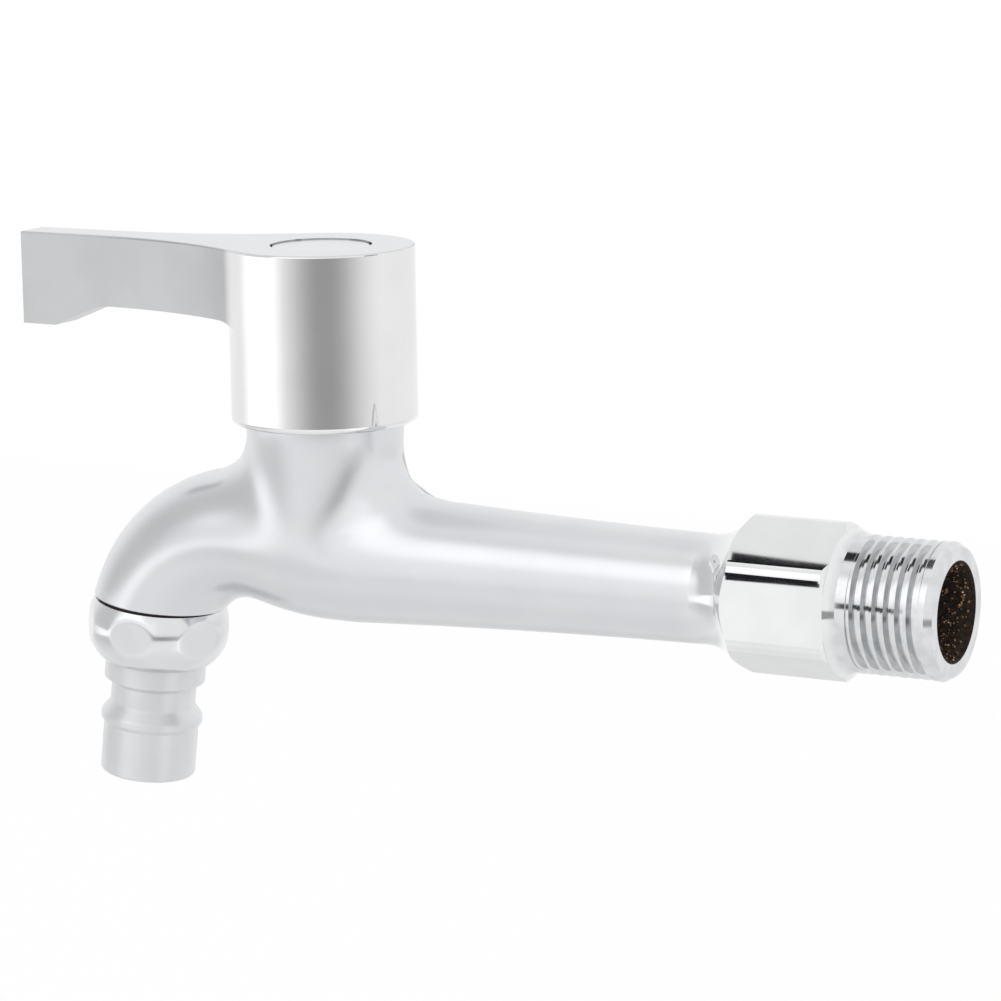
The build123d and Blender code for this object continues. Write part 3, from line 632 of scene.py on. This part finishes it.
handle_chrome, tree, shader, place = new_material("handle chrome")
shader.inputs["Metallic"].default_value = 1.0
where = tree.nodes.new("ShaderNodeSeparateXYZ")
tree.links.new(place, where.inputs["Vector"])
from_tower = off_axis(tree, place, tower_foot, tower_way)
on_lever = smooth_step(tree, from_tower, skirt_r, lever_r)
on_top = smooth_step(tree, where.outputs["Z"], top_edge_z, top_starts_z)
gloss = blend_values(tree, on_top, blend_values(tree, on_lever, skirt_gloss, lever_gloss), top_gloss)
add_plating(tree, shader, place, gloss, haze=0.02, wave_scale=60.0, wave_height=0.01 * MM)
skirt_shade = add_clouds(
    tree, place, scale=90.0, deep=(0.80, 0.80, 0.805), pale=(0.83, 0.83, 0.835)
)
lever_shade = add_clouds(
    tree, place, scale=90.0, deep=(0.485, 0.492, 0.50), pale=(0.515, 0.522, 0.53)
)
# The flat top has the lever's satin plate, painted lighter than the lever's sides: a painted highlight where the
# top faces the tent above.
top_painted_light = add_clouds(
    tree, place, scale=90.0, deep=(0.64, 0.65, 0.665), pale=(0.67, 0.68, 0.695)
)
# The wall of the groove round the button is painted darker: a painted shade in the gap between button and handle.
painted_groove_shade = add_clouds(
    tree, place, scale=300.0, deep=(0.40, 0.40, 0.41), pale=(0.50, 0.50, 0.51)
)
handle_shade = blend_colours(tree, on_lever, skirt_shade, lever_shade)
handle_shade = blend_colours(tree, on_top, handle_shade, top_painted_light)
in_painted_groove = maths(
    tree,
    "MULTIPLY",
    maths(tree, "LESS_THAN", from_tower, groove_r),
    maths(tree, "LESS_THAN", where.outputs["Z"], groove_starts_z),
)
handle_shade = blend_colours(tree, in_painted_groove, handle_shade, painted_groove_shade)
tree.links.new(handle_shade, shader.inputs["Base Color"])
wear("handle", handle_chrome)

button_chrome, tree, shader, place = new_material("button chrome")
shader.inputs["Metallic"].default_value = 1.0
add_plating(tree, shader, place, gloss=0.17, haze=0.05, wave_scale=60.0, wave_height=0.01 * MM)
button_shade = add_clouds(
    tree, place, scale=90.0, deep=(0.66, 0.67, 0.685), pale=(0.69, 0.70, 0.715)
)
tree.links.new(button_shade, shader.inputs["Base Color"])
wear("index_cap", button_chrome)


# The cartridge housing and the spindle are turned from free-cutting brass, left bare under the
# handle, with the marks of the lathe round the tower's axis.
bare_brass, tree, shader, place = new_material("turned brass")
shader.inputs["Metallic"].default_value = 1.0
brass_shade = add_clouds(tree, place, scale=220.0, deep=(0.66, 0.49, 0.22), pale=(0.76, 0.60, 0.32))
tree.links.new(brass_shade, shader.inputs["Base Color"])
vary_gloss(tree, shader, place, scale=300.0, least=0.2, most=0.4)
up_tower = along(tree, place, tower_foot, tower_way)
add_lathe_marks(tree, shader, up_tower, pitch=0.25 * MM, depth=0.01 * MM)
for node in ("cartridge_housing", "spindle"):
    wear(node, bare_brass)


# The seals are moulded from black nitrile rubber: the washer under the housing, the seal under the
# fixed disc, the washer in the nut, and the O-rings on the spindle and the button.
black_rubber, tree, shader, place = new_material("black rubber")
rubber_shade = add_clouds(
    tree, place, scale=400.0, deep=(0.018, 0.018, 0.019), pale=(0.045, 0.045, 0.046)
)
tree.links.new(rubber_shade, shader.inputs["Base Color"])
vary_gloss(tree, shader, place, scale=500.0, least=0.5, most=0.75)
for node in (
    "housing_washer",
    "seat_seal",
    "nozzle_washer",
    "spindle_o_ring_lower",
    "spindle_o_ring_upper",
    "cap_o_ring",
):
    wear(node, black_rubber)


# Two rings are moulded from white acetal: one props up the seat seal from inside, and the spindle's
# collar runs on the other.
white_acetal, tree, shader, place = new_material("white acetal")
acetal_shade = add_clouds(
    tree, place, scale=350.0, deep=(0.80, 0.80, 0.77), pale=(0.87, 0.87, 0.85)
)
tree.links.new(acetal_shade, shader.inputs["Base Color"])
vary_gloss(tree, shader, place, scale=400.0, least=0.35, most=0.5)
for node in ("seal_support_ring", "thrust_washer"):
    wear(node, white_acetal)


# The two valve discs are fired alumina, lapped flat so that they seal on each other. One lies still
# in the housing, and the spindle turns the other.
lapped_alumina, tree, shader, place = new_material("lapped alumina")
disc_shade = add_clouds(tree, place, scale=500.0, deep=(0.82, 0.80, 0.75), pale=(0.89, 0.87, 0.83))
tree.links.new(disc_shade, shader.inputs["Base Color"])
vary_gloss(tree, shader, place, scale=900.0, least=0.14, most=0.26)
for node in ("fixed_disc", "moving_disc"):
    wear(node, lapped_alumina)


# Small stainless parts: the punched gauze in the outlet, the clip pressed from sheet that keeps the
# spindle in, and the screw that holds the handle, with its washer.
plain_stainless, tree, shader, place = new_material("plain stainless")
shader.inputs["Metallic"].default_value = 1.0
steel_shade = add_clouds(
    tree, place, scale=260.0, deep=(0.56, 0.56, 0.57), pale=(0.66, 0.66, 0.665)
)
tree.links.new(steel_shade, shader.inputs["Base Color"])
vary_gloss(tree, shader, place, scale=600.0, least=0.2, most=0.4)
for node in ("outlet_gauze", "spindle_clip", "handle_screw", "screw_washer"):
    wear(node, plain_stainless)


# The camera stands where the photograph was taken from, to the right of the tap's front and a little
# above it, with a long lens and a slight tilt.
camera_azimuth = math.radians(28.3007)
camera_rise = math.radians(10.9488)
camera_roll = math.radians(-0.9056)
camera_distance = 630.965 * MM
aim = Vector((-61.2186, 0.0, 10.9561)) * MM


def way_to(azimuth, rise):
    """The direction that lies at that angle round from the front, and so far above the horizon."""
    return Vector(
        (
            math.sin(azimuth) * math.cos(rise),
            -math.cos(azimuth) * math.cos(rise),
            math.sin(rise),
        )
    )


back = way_to(camera_azimuth, camera_rise)
level = Vector((math.cos(camera_azimuth), math.sin(camera_azimuth), 0.0))
upright = back.cross(level)
right = math.cos(camera_roll) * level + math.sin(camera_roll) * upright
up = math.cos(camera_roll) * upright - math.sin(camera_roll) * level
lens = bpy.data.cameras.new("camera")
lens.sensor_width = 36.0
lens.lens = 145.09
lens.clip_start = 0.01
lens.clip_end = 20.0
camera = bpy.data.objects.new("camera", lens)
bpy.context.scene.collection.objects.link(camera)
turn = Matrix((right, up, back)).transposed().to_4x4()
camera.matrix_world = Matrix.Translation(aim + back * camera_distance) @ turn
bpy.context.scene.camera = camera


# The floor is a pale sheet some way below the tap, as below a tap on a wall, and the tap's shadow
# falls on it. To the lens it is nearly white, and the chrome shows the tent in its place.
def staged(name, points, material):
    """A flat sheet of the studio, which isn't part of the tap."""
    mesh = bpy.data.meshes.new(name)
    mesh.from_pydata(points, [], [tuple(range(len(points)))])
    mesh.materials.append(material)
    sheet = bpy.data.objects.new(name, mesh)
    bpy.context.scene.collection.objects.link(sheet)
    return sheet


floor_half = 600.0 * MM
floor_drop = 120.0 * MM
floor_grey = 0.9
floor_whiteness = 0.9
floor_paint = bpy.data.materials.new("floor paint")
floor_paint.use_nodes = True
tree = floor_paint.node_tree
tree.nodes.clear()
diffuse = tree.nodes.new("ShaderNodeBsdfDiffuse")
diffuse.inputs["Color"].default_value = (floor_grey, floor_grey, floor_grey, 1.0)
glow = tree.nodes.new("ShaderNodeEmission")
path = tree.nodes.new("ShaderNodeLightPath")
mix = tree.nodes.new("ShaderNodeMixShader")
surface = tree.nodes.new("ShaderNodeOutputMaterial")
seen = maths(tree, "ADD", path.outputs["Is Camera Ray"], path.outputs["Is Glossy Ray"])
seen = maths(tree, "ADD", seen, path.outputs["Is Transmission Ray"])
tree.links.new(maths(tree, "MULTIPLY", seen, floor_whiteness), mix.inputs["Fac"])
tree.links.new(diffuse.outputs[0], mix.inputs[1])
tree.links.new(glow.outputs[0], mix.inputs[2])
tree.links.new(mix.outputs[0], surface.inputs["Surface"])
floor_corners = [
    (-floor_half, -floor_half, -floor_drop),
    (floor_half, -floor_half, -floor_drop),
    (floor_half, floor_half, -floor_drop),
    (-floor_half, floor_half, -floor_drop),
]
staged("floor", floor_corners, floor_paint).visible_glossy = False


# The studio is a tent of white cloth. The chrome shows the greyer and brighter stretches of it,
# while the lens sees plain white.
tent_light = 1.01

# In degrees: the middle of a stretch round the tap from the camera, positive to its right, its half
# width and the width of its fading sides; then the same three above the horizon. Its light is last.
stretches = {
    "all round, below": (0, 180, 1, -80, 15, 40, 0.92),
    "left and behind, high": (-148, 16, 24, 58, 9, 14, 0.93),
    "behind, low": (-170, 16, 24, -41, 8, 12, 0.82),
    "right, low": (105, 12, 30, -12, 12, 15, 0.9),
    "left, low": (-108, 14, 26, -30, 20, 15, 0.89),
    "left, grey": (-92, 10, 40, 12, 28, 26, 0.69),
    "beside the lens, bright": (-12, 6, 16, 16, 8, 14, 1.14),
    "under the lamp, bright": (-48, 10, 24, 6, 8, 22, 1.08),
    "at the lamp, brightest": (-46, 12, 22, 33, 7, 17, 1.4),
    "right of the lens, low and bright": (44, 6, 14, -28, 10, 8, 1.2),
    "narrow band, behind and at the sides": (180, 110, 30, -9.5, 3.5, 3.5, 0.97),
    "narrow band, dark in front": (5, 4, 70, -9.5, 3.5, 3.5, 0.37),
    "narrow band, bright on the left": (-82, 12, 28, -9.5, 3.5, 3.5, 1.35),
}
world = bpy.data.worlds.new("light tent")
bpy.context.scene.world = world
world.use_nodes = True
tree = world.node_tree
tent = tree.nodes["Background"]
tent.inputs["Color"].default_value = (1.0, 1.0, 1.0, 1.0)
direction = tree.nodes.new("ShaderNodeSeparateXYZ")
tree.links.new(
    tree.nodes.new("ShaderNodeTexCoord").outputs["Generated"], direction.inputs["Vector"]
)
forwards = maths(tree, "MULTIPLY", direction.outputs["Y"], -1.0)
round_tap = maths(tree, "ARCTAN2", direction.outputs["X"], forwards)
round_tap = maths(tree, "DEGREES", maths(tree, "SUBTRACT", round_tap, camera_azimuth))
above_horizon = maths(tree, "DEGREES", maths(tree, "ARCSINE", direction.outputs["Z"]))
for middle, half_width, side_fade, height, half_height, end_fade, light in stretches.values():
    side = maths(tree, "WRAP", maths(tree, "SUBTRACT", round_tap, middle), 180.0, -180.0)
    side = maths(tree, "ABSOLUTE", side)
    side = smooth_step(tree, side, half_width, half_width + side_fade, 1.0, 0.0)
    end = maths(tree, "ABSOLUTE", maths(tree, "SUBTRACT", above_horizon, height))
    end = smooth_step(tree, end, half_height, half_height + end_fade, 1.0, 0.0)
    share = maths(tree, "MULTIPLY", side, end)
    change = maths(tree, "SUBTRACT", light, tent_light)
    tent_light = maths(tree, "MULTIPLY_ADD", change, share, tent_light)
path = tree.nodes.new("ShaderNodeLightPath")
missing = maths(tree, "SUBTRACT", 1.0, tent_light)
shown = maths(tree, "MULTIPLY_ADD", missing, path.outputs["Is Camera Ray"], tent_light)
tree.links.new(shown, tent.inputs["Strength"])


# One large soft lamp stands high on the camera's left. It lights the floor round the tap's shadow,
# and the chrome shows the tent's cloth in its place.
lamp_left_of_camera = math.radians(50.0)
lamp_turn = camera_azimuth - lamp_left_of_camera
lamp_rise = math.radians(33.0)
lamp_distance = 1200.0 * MM
lamp_light = bpy.data.lights.new("soft lamp", "AREA")
lamp_light.shape = "RECTANGLE"
lamp_light.size = 900.0 * MM
lamp_light.size_y = 700.0 * MM
lamp_light.energy = math.pi * lamp_light.size * lamp_light.size_y
lamp = bpy.data.objects.new("soft lamp", lamp_light)
bpy.context.scene.collection.objects.link(lamp)
lamp_way = way_to(lamp_turn, lamp_rise)
lamp.location = aim + lamp_way * lamp_distance
lamp.rotation_mode = "QUATERNION"
lamp.rotation_quaternion = lamp_way.to_track_quat("Z", "Y")
lamp.visible_glossy = False


# Three black cards hang close to the inlet. They show only in the chrome, as the dark lines on the
# hexagon and the thread. Each is turned edge-on to the tower, so that it hardly shows there.
black_card = bpy.data.materials.new("black card")
black_card.use_nodes = True
card_shader = black_card.node_tree.nodes["Principled BSDF"]
card_shader.inputs["Base Color"].default_value = (0.02, 0.02, 0.022, 1.0)
card_shader.inputs["Roughness"].default_value = 0.9
card_shader.inputs["Specular IOR Level"].default_value = 0.0
card_corners = {
    "hexagon card": [
        (-25.0, -27.2, 0.4),
        (-11.6, -32.6, -0.75),
        (-11.6, -32.6, 6.8),
        (-25.0, -27.2, 7.9),
    ],
    "thread card": [
        (-7.6, -28.6, 1.65),
        (1.0, -31.4, 1.35),
        (1.0, -31.4, 5.15),
        (-7.6, -28.6, 5.45),
    ],
    "top card": [
        (-37.9, -10.7, 50.9),
        (-10.3, -14.2, 75.7),
        (-10.3, 11.2, 75.7),
        (-37.9, 5.0, 50.9),
    ],
}
for name, corners in card_corners.items():
    card = staged(name, [Vector(corner) * MM for corner in corners], black_card)
    card.visible_camera = False
    card.visible_diffuse = False
    card.visible_shadow = False


bpy.context.scene.view_settings.view_transform = "Standard"
